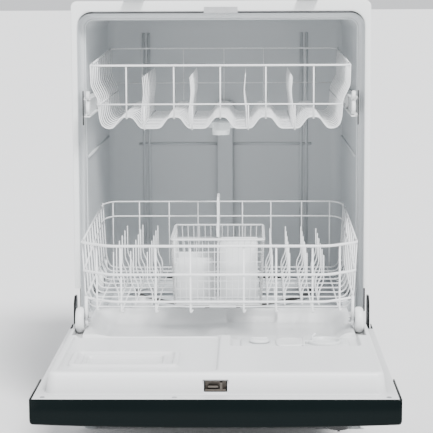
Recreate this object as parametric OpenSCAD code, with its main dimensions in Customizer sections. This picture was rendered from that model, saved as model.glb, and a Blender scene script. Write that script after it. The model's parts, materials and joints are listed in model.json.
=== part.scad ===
// Built-in dishwasher with its door open, both racks fitted and the control console on the door's edge.
// The origin is on the floor, midway between the door's front edge and the cabinet's back.
// +Z is up, +X is the user's right and the front faces -Y.

/* [Cabinet] */
// Height of the tub's top edge over the floor
body_h = 864; // [860:1:900]
// Width of the tub's front frame
frame_w = 590; // [588:1:594]
// Depth from the front frame to the back of the base
body_depth = 600; // [598:1:640]
// Width of the tub's mouth, inside the seal
mouth_w = 540; // [538:1:542]
// Height of the tub's mouth over the floor, at its top
mouth_top = 826; // [822:1:828]
// Height of the tub's floor
tub_floor = 222; // [216:1:224]
// Thickness of the tub's wall
tub_wall = 3; // [2:0.5:3]

/* [Door] */
// Width of the console and of the whole door
door_w = 600; // [599:1:604]
// How far the open door's front edge stands in front of the frame
door_reach = 675; // [672:1:680]
// Height of the door's hinge line
pivot_z = 205; // [204:1:206]
// Distance of the hinge line in front of the frame
pivot_out = 26; // [26:1:28]
// Length of the console along the door
console_len = 146; // [130:1:150]
// Width of the raised part of the door's lining
plateau_w = 558; // [552:1:560]

/* [Racks] */
// Diameter of the rack wires, made square here
wire = 4; // [3:0.5:4]
// Width of the lower rack
lower_w = 508; // [500:1:508]
// How far the lower rack's front stands in front of the frame
lower_out = 308; // [300:1:310]
// Depth of the lower rack
lower_depth = 512; // [500:1:514]
// Diameter of the lower rack's wheels
wheel_d = 48; // [46:1:48]
// How far the upper rack's front stands in front of the frame
upper_out = 87; // [80:1:88]
// Depth of the upper rack
upper_depth = 490; // [480:1:490]
// Height of the upper rack's lowest wires
upper_floor = 618; // [616:1:622]

/* [Hidden] */

$fn = 48;
flange_y = (door_reach - body_depth) / 2;   // the frame's front plane
gap = 0.4;                                  // air between pieces that pass each other
fit = 0.05;                                 // radial clearance of a turning fit
cut = 1;                                    // how far a cutter runs past what it cuts

white = [0.93, 0.94, 0.94];
grey = [0.62, 0.64, 0.65];
black = [0.05, 0.05, 0.06];
steel = [0.7, 0.71, 0.72];

// Y of a point that lies this far in front of the frame
function ahead(u) = flange_y - u;
// Y and Z of a place on the open door: s along it from the hinge line, n up from the hinge line
function door_y(s) = ahead(pivot_out + s);
function door_z(n) = pivot_z + n;

// ---- tub measures
ring_w = mouth_w + 25;          // width of the recess that takes the door's raised lining
ring_top = mouth_top + 17;
ring_depth = 45;
lip_z = 232;                    // bottom of the mouth
frame_low = 292;                // the frame's sides stop here, over the hinge arms
tub_back = body_depth - 37;     // inner face of the tub's back wall, behind the frame
ledge_z = 256.7;                // track that the rear wheels roll on
sump_r = 92;
corner_r = 16;

// ---- door measures
door_len = door_reach - pivot_out;
skin_n = -19;                   // outer face of the door
flange_n = 25;                  // sealing face of the lining
plateau_n = 61;                 // top of the raised lining
track_n = 51.7;                 // top of the wheel tracks
basin_n = 31;                   // bottom of the hollow that the lower rack's front closes into
plateau_s0 = 34;
plateau_s1 = 615;
basin_s1 = 300;
arm_x = 288;                    // inner face of the hinge arms
arm_t = 4;
pin_r = 5;

// ---- drain outlet, whose axis runs out through the back of the frame
drain_x = -140;
drain_z = 158;

// ---- rack measures
axle_n = track_n + gap - 0.1 + wheel_d / 2;
axle_z = pivot_z + axle_n;
front_axle_out = lower_out - 39;
rear_axle_out = -150;
axle_r = 4;
wheel_x = 250.6;                // inner face of a wheel
wheel_t = 11;
lower_floor = 302;
lower_front_top = 425;
lower_back_top = 443;
lower_back_out = lower_out - lower_depth;
upper_w = 504;
upper_back_out = upper_out - upper_depth;
upper_front_top = 743;
upper_back_top = 761;
rail_z = 658;                   // centre line of the upper rails
basket_w = 172;
basket_d = 196;
basket_h = 121;
basket_z = 309.5;
basket_out = 166;               // centre of the basket
arm_out = -290;                 // centre of the lower spray arm
upper_arm_out = -158;

// ---- shared shapes

// A rectangle from two corners
module area(x0, y0, x1, y1) { translate([x0, y0]) square([x1 - x0, y1 - y0]); }

// A rectangle from two corners, with round corners of radius r
module round_area(x0, y0, x1, y1, r) {
    area(x0 + r, y0, x1 - r, y1);
    area(x0, y0 + r, x1, y1 - r);
    for (x = [x0 + r, x1 - r], y = [y0 + r, y1 - r]) translate([x, y]) circle(r);
}

// A box from two corners
module block(lo, hi) { translate(lo) cube(hi - lo); }

// Extrudes a drawing of X and Z from y0 back to y1
module slab_y(y0, y1) { translate([0, y1, 0]) rotate([90, 0, 0]) linear_extrude(y1 - y0) children(); }

// Extrudes a drawing of Y and Z from x0 to x1
module slab_x(x0, x1) {
    translate([x0, 0, 0]) rotate([90, 0, 90]) linear_extrude(x1 - x0) children();
}

// The left and the right copy of a shape drawn on the right
module both_sides() { children(); mirror([1, 0, 0]) children(); }

// A round bar along X
module bar_x(x0, x1, y, z, r) { translate([x0, y, z]) rotate([0, 90, 0]) cylinder(h = x1 - x0, r = r); }

// A flat grille: a plate less cols x rows windows, which leave bars of width t
module grille(x0, y0, x1, y1, cols, rows, t) {
    w = (x1 - x0 - t) / cols;
    h = (y1 - y0 - t) / rows;
    difference() {
        area(x0, y0, x1, y1);
        for (i = [0 : cols - 1], j = [0 : rows - 1])
            area(x0 + i * w + t, y0 + j * h + t, x0 + (i + 1) * w, y0 + (j + 1) * h);
    }
}

// A comb: a base bar with upright teeth
module comb(x0, x1, z0, z1, count, t) {
    area(x0, z0, x1, z0 + t);
    for (i = [0 : count - 1]) {
        x = x0 + i * (x1 - x0 - t) / (count - 1);
        area(x, z0, x + t, z1);
    }
}

// ---- cabinet

module ring_outline(grow) {
    round_area(-ring_w / 2 - grow, lip_z - grow, ring_w / 2 + grow, ring_top + grow, corner_r + grow);
}

module mouth_outline(grow) {
    round_area(-mouth_w / 2 - grow, lip_z - grow, mouth_w / 2 + grow, mouth_top + grow,
        corner_r + grow);
}

module tub_section(grow) {
    round_area(-mouth_w / 2 - grow, tub_floor - grow, mouth_w / 2 + grow, mouth_top + grow,
        24 + grow);
}

module tub() {
    rib_x = 174;
    color(white) {
        difference() {
            union() {
                // front frame, which stops over the hinge arms
                slab_y(ahead(0), ahead(-6)) difference() {
                    round_area(-frame_w / 2, frame_low - 40, frame_w / 2, body_h, 12);
                    area(-frame_w / 2 - cut, frame_low - 42, frame_w / 2 + cut, frame_low);
                }
                slab_y(ahead(-6 + cut), ahead(-ring_depth - tub_wall)) ring_outline(tub_wall);
                slab_y(ahead(-ring_depth), ahead(-tub_back - tub_wall)) tub_section(tub_wall);
            }
            slab_y(ahead(cut), ahead(-ring_depth)) ring_outline(0);
            slab_y(ahead(-ring_depth + cut), ahead(-ring_depth - tub_wall - cut)) mouth_outline(0);
            slab_y(ahead(-ring_depth - tub_wall), ahead(-tub_back)) tub_section(0);
            translate([0, ahead(arm_out), tub_floor - 30]) cylinder(h = 60, r = sump_r);
        }
        // tracks for the lower rack's rear wheels
        both_sides() block([243, ahead(-56), tub_floor - 1], [mouth_w / 2 + 1, ahead(-500), ledge_z]);
        // stiffening ribs of the back wall
        both_sides() {
            block([rib_x, ahead(-tub_back + 4), 300], [rib_x + 9, ahead(-tub_back - 1), 790]);
            block([22, ahead(-tub_back + 3), 530], [rib_x + 20, ahead(-tub_back - 1), 537]);
        }
        // embossed rib along each side wall
        both_sides() block([mouth_w / 2 - 3, ahead(-60), 548], [mouth_w / 2 + 1, ahead(-540), 556]);
    }
}

// Rubber seal in the corner of the recess, along the sides and the top
module door_gasket() {
    color(grey) slab_y(ahead(-ring_depth + 4.2), ahead(-ring_depth)) difference() {
        round_area(-mouth_w / 2 - 10, lip_z + 8, mouth_w / 2 + 10, mouth_top + 14, corner_r + 4);
        round_area(-mouth_w / 2 - 1, lip_z - 40, mouth_w / 2 + 1, mouth_top + 3, corner_r);
    }
}

module strike_plate() {
    color(steel) difference() {
        union() {
            block([-33, ahead(0.6), ring_top - 1], [33, ahead(0), ring_top + 9]);
            block([-33, ahead(0.6), ring_top - 3], [33, ahead(-30), ring_top]);
            block([-9, ahead(-8), ring_top - 9], [9, ahead(-11), ring_top - 1]);
        }
        for (x = [-24, 24]) translate([x, ahead(-19), ring_top - 6]) cylinder(h = 8, r = 2.2);
    }
}

// Steel under-frame: two side channels, front and rear cross members and the hinge brackets
module base_frame() {
    rail_top = tub_floor - tub_wall - 1;
    side_y0 = ahead(-8);
    side_y1 = ahead(-body_depth);
    color(steel) difference() {
        union() {
            both_sides() {
                // web, with the ear that carries the door's pivot pin
                slab_x(281, 284) difference() {
                    union() {
                        area(side_y0, 28, side_y1, rail_top - 6);
                        translate([ahead(pivot_out), pivot_z]) circle(14);
                        polygon([[ahead(pivot_out + 4), pivot_z - 8], [ahead(pivot_out - 12), pivot_z + 4],
                            [ahead(-30), 190], [ahead(-30), 110], [ahead(2), 110]]);
                    }
                    translate([ahead(pivot_out), pivot_z]) circle(pin_r);
                }
                block([252, side_y0, 28], [282, side_y1, 31]);
                block([252, side_y0, rail_top - 9], [282, side_y1, rail_top - 6]);
            }
            for (y = [side_y0 + 30, side_y1 - 33]) {
                block([-282, y, 29], [282, y + 3, 90]);
                block([-254, y - 26, 28], [254, y + 1, 31]);
            }
            block([-282, side_y1 - 4, 130], [282, side_y1 - 1, 206]);
        }
        translate([drain_x, side_y1 - 10, drain_z]) rotate([-90, 0, 0]) cylinder(h = 20, r = 15);
        both_sides() for (y = [side_y0 + 16, side_y1 - 20])
            translate([267, y, 20]) cylinder(h = 20, r = 5.2);
        // holes for the screws that fix the frame to the floor
        both_sides() for (u = [-120, -480]) translate([262, ahead(u), 20]) cylinder(h = 20, r = 3);
    }
}

// Four threaded feet with round pads
module levelling_feet() {
    side_y0 = ahead(-8);
    side_y1 = ahead(-body_depth);
    color(grey) both_sides() for (y = [side_y0 + 16, side_y1 - 20]) translate([267, y, 0]) {
        cylinder(h = 7, r = 15);
        cylinder(h = 62, r = 5);
        translate([0, 0, 22]) cylinder(h = 5.9, r = 9, $fn = 6);
        translate([0, 0, 31.1]) cylinder(h = 4, r = 9, $fn = 6);
    }
}

module toe_kick() {
    color(black) difference() {
        union() {
            block([-292, ahead(-2), 8], [292, ahead(-4), 100]);
            block([-292, ahead(-2), 98], [292, ahead(-7.5), 100]);
        }
        for (i = [0 : 7]) block([-180 + i * 46, ahead(0), 34], [-154 + i * 46, ahead(-6), 38]);
    }
}

module access_panel() {
    color(black) difference() {
        union() {
            block([-297, ahead(41), 104], [297, ahead(39), 180]);
            both_sides() block([295, ahead(40), 104], [297, ahead(-2), 180]);
            block([-296, ahead(40), 104], [296, ahead(-2), 106]);
        }
        both_sides() translate([250, ahead(38), 142]) rotate([90, 0, 0]) cylinder(h = 8, r = 2.6);
    }
}

// Tabs that screw to the underside of the worktop
module countertop_brackets() {
    color(steel) both_sides() difference() {
        block([150, ahead(30), body_h + 0.2], [190, ahead(-24), body_h + 1.7]);
        for (x = [160, 180]) translate([x, ahead(18), body_h - 4]) cylinder(h = 10, r = 2.5);
    }
}

// Sound-deadening wrap over the top, the sides and the back
module insulation_blanket() {
    color([0.16, 0.16, 0.17]) difference() {
        slab_y(ahead(-70), ahead(-tub_back - 14)) area(-292, 232, 292, 846);
        slab_y(ahead(-69), ahead(-tub_back - tub_wall - 0.5)) round_area(-mouth_w / 2 - 4, 180,
            mouth_w / 2 + 4, mouth_top + 4, 27);
        translate([-45, ahead(-560), 228]) cube([90, 40, 32]);
    }
}

// ---- wash system

module sump() {
    color(grey) translate([0, ahead(arm_out), 0]) difference() {
        union() {
            translate([0, 0, 128]) cylinder(h = 88, r = 84);
            translate([0, 0, 208]) cylinder(h = tub_floor - tub_wall - 208 - 0.2, r = 112);
            translate([0, 0, 214]) cylinder(h = tub_floor - 214 + 2, r = sump_r - 0.5);
        }
        translate([0, 0, 134]) cylinder(h = 110, r = 78);
    }
}

// Fine filter: a perforated cup in a flat plate
module filter() {
    color(grey) translate([0, ahead(arm_out), 0]) difference() {
        union() {
            translate([0, 0, 216]) cylinder(h = 4, r = 77.6);
            translate([48, 0, 168]) cylinder(h = 50, r = 24);
            translate([48, 0, 219]) cylinder(h = 8, r = 12);
            spray_tower();
        }
        translate([48, 0, 171]) cylinder(h = 44, r = 21);
        for (a = [90 : 20 : 270]) rotate(a) translate([52, 0, 210]) cylinder(h = 20, r = 5);
    }
}

// Short tower on which the lower spray arm turns
module spray_tower() {
    translate([0, 0, 217]) cylinder(h = 28, r = 17);
    translate([0, 0, 240]) cylinder(h = 26, r = 9);
}

module wash_pump() {
    color([0.75, 0.75, 0.76]) translate([0, ahead(-430), 150]) rotate([-90, 0, 0]) union() {
        translate([0, 0, -38]) cylinder(h = 30, r = 34);
        translate([0, 0, -9]) cylinder(h = 100, r = 44);
        translate([0, 0, 90]) cylinder(h = 14, r = 16);
    }
}

module drain_pump() {
    color(grey) translate([drain_x, ahead(-320), drain_z]) union() {
        translate([20, 0, 0]) rotate([0, -90, 0]) cylinder(h = 62, r = 26);
        rotate([-90, 0, 0]) cylinder(h = 70, r = 10);
        translate([0, 62, 0]) rotate([-90, 0, 0]) cylinder(h = 217.5, r = 9);
    }
}

// Solenoid valve on a bracket, with its spigot towards the back
module inlet_valve() {
    color(grey) difference() {
        union() {
            block([150, ahead(-60), 90], [200, ahead(-111), 130]);
            translate([175, ahead(-110), 110]) rotate([-90, 0, 0]) cylinder(h = 40, r = 13);
            block([160, ahead(-70), 60], [190, ahead(-100), 91]);
            block([160, ahead(-41.2), 60], [190, ahead(-44.2), 100]);
            block([160, ahead(-43), 96], [190, ahead(-61), 100]);
        }
        translate([175, ahead(-120), 110]) rotate([-90, 0, 0]) cylinder(h = 31, r = 9.5);
    }
}

// Open-fronted box for the supply cable's connections, on a bracket
module junction_box() {
    color(steel) difference() {
        union() {
            block([-230, ahead(-52), 82], [-170, ahead(-112), 138]);
            block([-220, ahead(-41.2), 62], [-180, ahead(-43.2), 84]);
            block([-220, ahead(-42), 82], [-180, ahead(-54), 84]);
        }
        block([-228, ahead(-51), 84], [-172, ahead(-110), 136]);
        translate([-200, ahead(-100), 110]) rotate([-90, 0, 0]) cylinder(h = 30, r = 11);
    }
}

// Round tubular heater just over the tub's floor, on three clips
module heater_element() {
    color([0.35, 0.35, 0.36]) translate([0, ahead(arm_out), 0]) union() {
        translate([0, 0, 238]) difference() {
            rotate_extrude($fn = 64) translate([188, 0]) circle(3.8);
            translate([-30, -230, -10]) cube([60, 60, 20]);
        }
        for (a = [30, 150, 270]) if (a != 270) rotate(a)
            translate([185, -4, tub_floor]) cube([6, 8, 15]);
        both_sides() translate([32, -185.3, tub_floor]) cylinder(h = 17, r = 4.6);
    }
}

// Duct up the back wall to the upper rack's docking port
module feed_tube() {
    color(grey) union() {
        block([-17, ahead(-tub_back + 14), tub_floor + 20], [17, ahead(-tub_back + 0.2), 632]);
        block([-14, ahead(-tub_back + 24), 588], [14, ahead(-tub_back + 12), 610]);
    }
}

// ---- upper rack rails

module tub_rollers() {
    color(white) both_sides() for (u = [-110, -300]) {
        bar_x(263, 269.4, ahead(u), rail_z, 14.5);
        bar_x(268, 270, ahead(u), rail_z, 6);
    }
}

// I-section rail: the tub's rollers run in its outer side and the rack's wheels in its inner side
module upper_rails() {
    color(white) both_sides() slab_y(ahead(60), ahead(-400)) {
        area(259.7, rail_z - 18, 261.7, rail_z + 18);
        for (z = [rail_z - 18, rail_z + 15.4]) area(253.4, z, 268.6, z + 2.6);
    }
}

module rail_end_caps() {
    color(black) both_sides() union() {
        block([262, ahead(64), rail_z - 34], [269, ahead(60.1), rail_z + 34]);
        bar_x(254, 259.4, ahead(44), rail_z, 14.8);
    }
}

// ---- upper rack

// Half width of the rack's floor wires at the foot of its sides
upper_in = upper_w / 2 - wire;
scallop_pitch = 90;
scallop_rise = 24;

// Rise of a floor wire at x: it humps at the front's uprights and dips between them
function scallop(x) = scallop_rise / 2 * (1 + cos(360 * x / scallop_pitch));

module scallop_wire() {
    steps = 66;
    xs = [for (i = [0 : steps]) -upper_in + 2 * upper_in * i / steps];
    polygon(concat(
        [for (x = xs) [x, upper_floor + scallop(x)]],
        [for (i = [steps : -1 : 0]) [xs[i], upper_floor + scallop(xs[i]) + wire]]));
}

module upper_rack_floor() {
    rows = 11;
    y0 = ahead(upper_out - wire);
    y1 = ahead(upper_back_out + wire);
    rod_z = upper_floor + scallop_rise + wire + 0.1;
    color(white) {
        for (i = [0 : rows]) {
            y = y0 + gap + i * (y1 - y0 - wire - 2 * gap) / rows;
            slab_y(y, y + wire) scallop_wire();
        }
        for (x = [for (i = [-2 : 2]) i * scallop_pitch])
            block([x - 2, y0 + gap, rod_z], [x + 2, y1 - gap, rod_z + wire]);
    }
}

module upper_rack_front() {
    color(white) slab_y(ahead(upper_out), ahead(upper_out - wire))
        grille(-upper_w / 2, upper_floor, upper_w / 2, upper_front_top, 11, 2, wire);
}

module upper_rack_back() {
    color(white) slab_y(ahead(upper_back_out + wire), ahead(upper_back_out))
        grille(-upper_w / 2, upper_floor, upper_w / 2, upper_back_top, 10, 2, wire);
}

module upper_rack_side() {
    color(white) slab_x(upper_w / 2 - wire + gap, upper_w / 2) union() {
        grille(ahead(upper_out - wire - gap), upper_floor, ahead(upper_back_out + wire + gap),
            upper_front_top, 10, 2, wire);
        polygon([[ahead(upper_out - 60), upper_front_top - 1], [ahead(upper_back_out + wire + gap),
            upper_front_top - 1], [ahead(upper_back_out + wire + gap), upper_back_top]]);
    }
}

module upper_rack_left() { mirror([1, 0, 0]) upper_rack_side(); }
module upper_rack_right() { upper_rack_side(); }

// Four rows of tall tines that stand in the dips of the floor wires
module upper_rack_tines() {
    color(white) for (x = [-1.5, -0.5, 0.5, 1.5] * scallop_pitch)
        slab_x(x - wire / 2, x + wire / 2)
            comb(ahead(upper_out - 22), ahead(upper_back_out + 30), upper_floor + wire + 0.6,
                upper_floor + 100, 16, wire);
}

module upper_rack_wheels() {
    color(white) both_sides() for (u = [-150, -380]) {
        bar_x(253.8, 259.3, ahead(u), rail_z, 14.6);
        bar_x(upper_w / 2 - 1, 254.5, ahead(u), rail_z, 5);
    }
}

module upper_spray_arm() {
    spray_arm(upper_arm_out, 603, 198, 9, 90);
}

// A spray arm: a flat two-bladed arm with a round hub and a row of nozzles, turned about its hub
module spray_arm(out, z, reach, thick, turn) {
    color([0.8, 0.82, 0.83]) translate([0, ahead(out), z]) rotate(turn) difference() {
        union() {
            linear_extrude(thick) round_area(-reach, -17, reach, 17, 16.5);
            cylinder(h = thick, r = 30);
        }
        for (x = [35 : 22 : reach - 12], side = [-1, 1])
            translate([side * x, side * 5, thick / 2]) cylinder(h = thick, r = 1.6);
        translate([0, 0, -cut]) cylinder(h = thick + 2 * cut, r = 9 + 0.4);
    }
}

module lower_spray_arm() { spray_arm(arm_out, 247, 205, 12, 0); }

// ---- lower rack

module lower_rack_floor() {
    z = lower_floor;
    x1 = lower_w / 2 - 10;
    y0 = ahead(lower_out - wire - gap);
    y1 = ahead(lower_back_out + wire + gap);
    color(white) translate([0, 0, z]) linear_extrude(wire) intersection() {
        grille(-x1, y0, x1, y1, 14, 12, wire);
        polygon([[-x1, y1], [x1, y1], [x1, y0 + 44], [x1 - 40, y0], [40 - x1, y0], [-x1, y0 + 44]]);
    }
}

module lower_rack_front() {
    color(white) slab_y(ahead(lower_out), ahead(lower_out - wire))
        grille(-lower_w / 2 + 42, lower_floor, lower_w / 2 - 42, lower_front_top, 8, 3, wire);
}

module lower_rack_back() {
    color(white) slab_y(ahead(lower_back_out + wire), ahead(lower_back_out))
        grille(-lower_w / 2 + 6, lower_floor, lower_w / 2 - 6, lower_back_top, 9, 3, wire);
}

// A side wall with its swept front corner and the two hangers that hold the wheel pins
module lower_rack_side() {
    x1 = lower_w / 2 - 6;
    y0 = ahead(lower_out - 46);
    color(white) {
        slab_x(x1 - wire, x1) {
            grille(y0, lower_floor, ahead(lower_back_out + wire + gap), lower_front_top, 9, 3, wire);
            polygon([[y0 + 60, lower_front_top - 1], [ahead(lower_back_out + wire + gap),
                lower_front_top - 1], [ahead(lower_back_out + wire + gap), lower_back_top]]);
            for (u = [front_axle_out, rear_axle_out]) difference() {
                union() {
                    translate([ahead(u), axle_z]) circle(10);
                    area(ahead(u) - 10, axle_z, ahead(u) + 10, lower_floor + 2);
                }
                translate([ahead(u), axle_z]) circle(axle_r + fit);
            }
        }
        // three wires that sweep round the front corner
        for (z = [lower_floor, lower_floor + 40, lower_front_top - wire])
            translate([0, 0, z]) linear_extrude(wire) polygon([
                [x1 - wire, y0 - gap], [x1, y0 - gap], [x1 - 8, y0 - 20], [x1 - 34, ahead(lower_out)],
                [lower_w / 2 - 41.6, ahead(lower_out)], [lower_w / 2 - 41.6, ahead(lower_out - wire)],
                [x1 - 36, ahead(lower_out - wire)], [x1 - 11.5, y0 - 18]]);
    }
}

module lower_rack_left() { mirror([1, 0, 0]) lower_rack_side(); }
module lower_rack_right() { lower_rack_side(); }

// Rows of plate tines, on both sides of the basket
module lower_rack_tines() {
    z0 = lower_floor + wire + gap;
    color(white) {
        for (x = [-199, -167, -136]) slab_x(x, x + wire)
            comb(ahead(250), ahead(-150), z0, 402, 14, wire);
        for (x = [96, 128, 160, 191]) slab_x(x, x + wire)
            comb(ahead(250), ahead(-150), z0, 394, 14, wire);
    }
}

module axle_pair(out, x0) {
    color(steel) both_sides() union() {
        bar_x(x0, wheel_x + wheel_t + 1.4, ahead(out), axle_z, axle_r);
        bar_x(wheel_x + wheel_t + 0.4, wheel_x + wheel_t + 2.4, ahead(out), axle_z, axle_r + 3);
    }
}

module front_axle_pins() { axle_pair(front_axle_out, lower_w / 2 - 16); }
module rear_axle_pins() { axle_pair(rear_axle_out, lower_w / 2 - 16); }

module lower_wheel(side, out) {
    color(white) translate([0, ahead(out), axle_z]) mirror([side < 0 ? 1 : 0, 0, 0])
        translate([wheel_x, 0, 0]) rotate([0, 90, 0]) difference() {
            union() {
                cylinder(h = wheel_t - 2, r = wheel_d / 2 - 4);
                cylinder(h = wheel_t, r = 10);
                difference() {
                    cylinder(h = wheel_t, r = wheel_d / 2);
                    translate([0, 0, -cut]) cylinder(h = wheel_t + 2 * cut, r = wheel_d / 2 - 5);
                }
            }
            translate([0, 0, -cut]) cylinder(h = wheel_t + 2 * cut, r = axle_r + fit);
            for (a = [0 : 72 : 288]) rotate(a) translate([14.5, 0, -cut])
                cylinder(h = wheel_t + 2 * cut, r = 3);
        }
}

module wheel_front_left() { lower_wheel(-1, front_axle_out); }
module wheel_front_right() { lower_wheel(1, front_axle_out); }
module wheel_rear_left() { lower_wheel(-1, rear_axle_out); }
module wheel_rear_right() { lower_wheel(1, rear_axle_out); }

// Basket of six cells: slotted walls round and across a slotted floor
module silverware_basket() {
    t = 2.5;
    x0 = -3 - basket_w / 2;
    x1 = x0 + basket_w;
    y0 = ahead(basket_out) - basket_d / 2;
    y1 = y0 + basket_d;
    cell_w = (basket_w - t) / 2;
    cell_d = (basket_d - t) / 3;
    top = basket_z + basket_h;
    color(white) {
        for (y = [y0, y1 - t]) slab_y(y, y + t) grille(x0, basket_z, x1, top, 12, 5, t);
        for (x = [x0, x0 + cell_w, x1 - t]) slab_x(x, x + t)
            grille(y0 + t + gap, basket_z, y1 - t - gap, top, 13, 5, t);
        for (i = [0, 1], j = [1, 2]) slab_y(y0 + j * cell_d, y0 + j * cell_d + t)
            grille(x0 + i * cell_w + t + gap, basket_z, x0 + (i + 1) * cell_w - gap, top - 12, 6, 4, t);
        translate([0, 0, basket_z - 3]) linear_extrude(3 - gap)
            grille(x0 + 1, y0 + 1, x1 - 1, y1 - 1, 12, 14, 3);
    }
}

// Flat handle that stands on the basket's middle wall
module basket_handle() {
    color(white) slab_x(-5, -1) difference() {
        translate([ahead(basket_out), basket_z + basket_h + 0.1]) polygon([[-70, 0], [70, 0], [64, 14],
            [38, 24], [38, 62], [30, 69], [-30, 69], [-38, 62], [-38, 24], [-64, 14]]);
        translate([ahead(basket_out), basket_z + basket_h + 30]) round_area(-27, 0, 27, 28, 6);
    }
}

// ---- door

// A box on the open door, from two corners given as x, s and n
module door_block(x0, s0, n0, x1, s1, n1) {
    block([x0, door_y(s1), door_z(n0)], [x1, door_y(s0), door_z(n1)]);
}

module outer_door_panel() {
    w = door_w / 2 - 3;
    s1 = door_len - console_len - 1;
    color(black) difference() {
        door_block(-w, 6, skin_n, w, s1, flange_n - 3.2);
        door_block(-w + 1.5, 7.5, skin_n + 1.5, w - 1.5, s1 - 1.5, flange_n);
        // relief for the hinge arms' bosses
        door_block(-w - cut, 0, -14, w + cut, 10, flange_n);
    }
}

// Glossy console: a tray with a hand recess and holes for the controls
module console() {
    w = door_w / 2;
    s0 = door_len - console_len;
    face_n = skin_n - 2;
    color(black) difference() {
        door_block(-w, s0, face_n, w, door_len, flange_n);
        door_block(-w + 2.6, s0 + 2.6, face_n + 3, w - 2.6, door_len - 4, flange_n + cut);
        // room for the lining's sealing face
        door_block(-w + 2.6, s0 - cut, flange_n - 3.4, w - 2.6, s0 + 5, flange_n + cut);
        // hand recess for the latch handle
        door_block(-62, s0 + 70, face_n - cut, 62, s0 + 128, face_n + 5);
        for (i = [0 : 2]) translate([-230 + i * 40, door_y(s0 + 98), door_z(face_n - cut)])
            cylinder(h = 6, r = 12.4);
        translate([200, door_y(s0 + 98), door_z(face_n - cut)]) cylinder(h = 6, r = 5);
    }
}

module door_liner() {
    p = plateau_w / 2;
    color(white) difference() {
        union() {
            door_block(-door_w / 2 + 13.5, 10, flange_n - 3, door_w / 2 - 13.5, 80, flange_n);
            door_block(-door_w / 2 + 4, 70, flange_n - 3, door_w / 2 - 4, door_len - 5, flange_n);
            translate([0, 0, door_z(flange_n - 1)]) linear_extrude(plateau_n - flange_n + 1)
                round_area(-p, door_y(plateau_s1), p, door_y(plateau_s0), 18);
            // raised block on the right
            translate([0, 0, door_z(plateau_n - 1)]) linear_extrude(4)
                round_area(2, door_y(572), p - 8, door_y(412), 10);
        }
        // hollow that the lower rack's front closes into
        translate([0, 0, door_z(basin_n)]) linear_extrude(60)
            round_area(-242, door_y(basin_s1), 242, door_y(plateau_s0 + 8), 20);
        // tracks for the front wheels
        both_sides() door_block(247, plateau_s0 - cut, track_n, 266, basin_s1 + 10, plateau_n + 9);
        // shallow rectangle on the left
        door_block(-246, 440, plateau_n - 7, -78, 530, plateau_n + cut);
        // lower deck for the dispensers
        door_block(22, basin_s1 - 4, plateau_n - 8, 250, 404, plateau_n + cut);
        // well for the dispenser's body
        door_block(46, 310, flange_n - 9, 226, 392, plateau_n);
        // space between the lining and the door's skin
        door_block(-p + 4, basin_s1 + 14, flange_n - 9, 40, plateau_s1 - 4, plateau_n - 12);
        door_block(0, 398, flange_n - 9, p - 4, plateau_s1 - 4, plateau_n - 12);
        door_block(-p + 30, 50, flange_n - 9, p - 30, basin_s1 + 8, basin_n - 3);
        // opening of the latch
        door_block(-19, plateau_s1 - 20, flange_n + 4, 19, plateau_s1 + cut, flange_n + 23);
        // screw holes along the sealing face
        for (x = [-280, -66, 280]) translate([x, door_y(door_len - 16), door_z(flange_n - 9)])
            cylinder(h = 20, r = 2.1);
    }
}

// Two flat arms that turn on the pivot pins and carry the door
module hinge_arms() {
    color(black) both_sides() slab_x(arm_x, arm_x + arm_t) difference() {
        union() {
            translate([door_y(0), pivot_z]) circle(13);
            polygon([[door_y(-8), pivot_z - 4], [door_y(-8), pivot_z + 66], [door_y(-4), pivot_z + 78],
                [door_y(16), pivot_z + 79], [door_y(30), pivot_z + 66], [door_y(34), pivot_z + 20],
                [door_y(240), pivot_z + 18], [door_y(240), pivot_z + 2], [door_y(34), pivot_z - 8]]);
        }
        translate([door_y(0), pivot_z]) circle(pin_r + fit);
    }
}

module hinge_pins() {
    color(steel) both_sides() union() {
        bar_x(276, 293.4, ahead(pivot_out), pivot_z, pin_r);
        bar_x(276, 280.8, ahead(pivot_out), pivot_z, pin_r + 3.5);
    }
}

// Springs that balance the door, as ribbed bodies with a rod through them
module balance_springs() {
    coils = 16;
    color(steel) both_sides() translate([244, ahead(-60), 110]) rotate([-90, 0, 0]) union() {
        rotate_extrude() polygon(concat([[0, 0]], [for (i = [0 : coils - 1], k = [0, 1])
            [k == 0 ? 9.5 : 7, i * 12 + k * 7]], [[7, coils * 12], [0, coils * 12]]));
        translate([0, 0, -28]) cylinder(h = 30, r = 2.5);
        translate([0, 0, coils * 12 - 1]) cylinder(h = 60, r = 2.5);
    }
}

// Dispenser housing: a deck plate with a covered cup, an open cup and the rinse aid port
module dispenser_body() {
    deck = plateau_n - 8;
    color([0.88, 0.89, 0.9]) difference() {
        union() {
            door_block(47, 311, deck - 26, 225, 391, deck + 0.1);
            door_block(40, 306, deck + 0.1, 232, 396, deck + 2.6);
        }
        door_block(106, 318, deck - 20, 148, 384, deck + 4);
        door_block(156, 318, deck - 16, 222, 384, deck + 4);
        translate([73, door_y(346), door_z(deck - 12)]) cylinder(h = 20, r = 5);
    }
}

// Lid of the covered cup, hinged along its right edge
module detergent_lid() {
    deck = plateau_n - 5.4;
    color(white) difference() {
        union() {
            door_block(102, 315, deck + 0.3, 151.5, 387, deck + 3.3);
            translate([151.5, door_y(385), door_z(deck + 2.6)]) rotate([-90, 0, 0])
                cylinder(h = 68, r = 2.3);
        }
        translate([151.5, door_y(388), door_z(deck + 2.6)]) rotate([-90, 0, 0])
            cylinder(h = 80, r = 1);
    }
}

// Round cap of the rinse aid tank, with a finger bar
module rinse_cap() {
    deck = plateau_n - 5.4;
    color([0.9, 0.9, 0.91]) translate([73, door_y(346), door_z(deck)]) union() {
        translate([0, 0, 0.3]) cylinder(h = 4, r = 18);
        translate([-15, -2.5, 4]) cube([30, 5, 5]);
        translate([0, 0, -10]) cylinder(h = 11, r = 4.7);
    }
}

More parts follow.
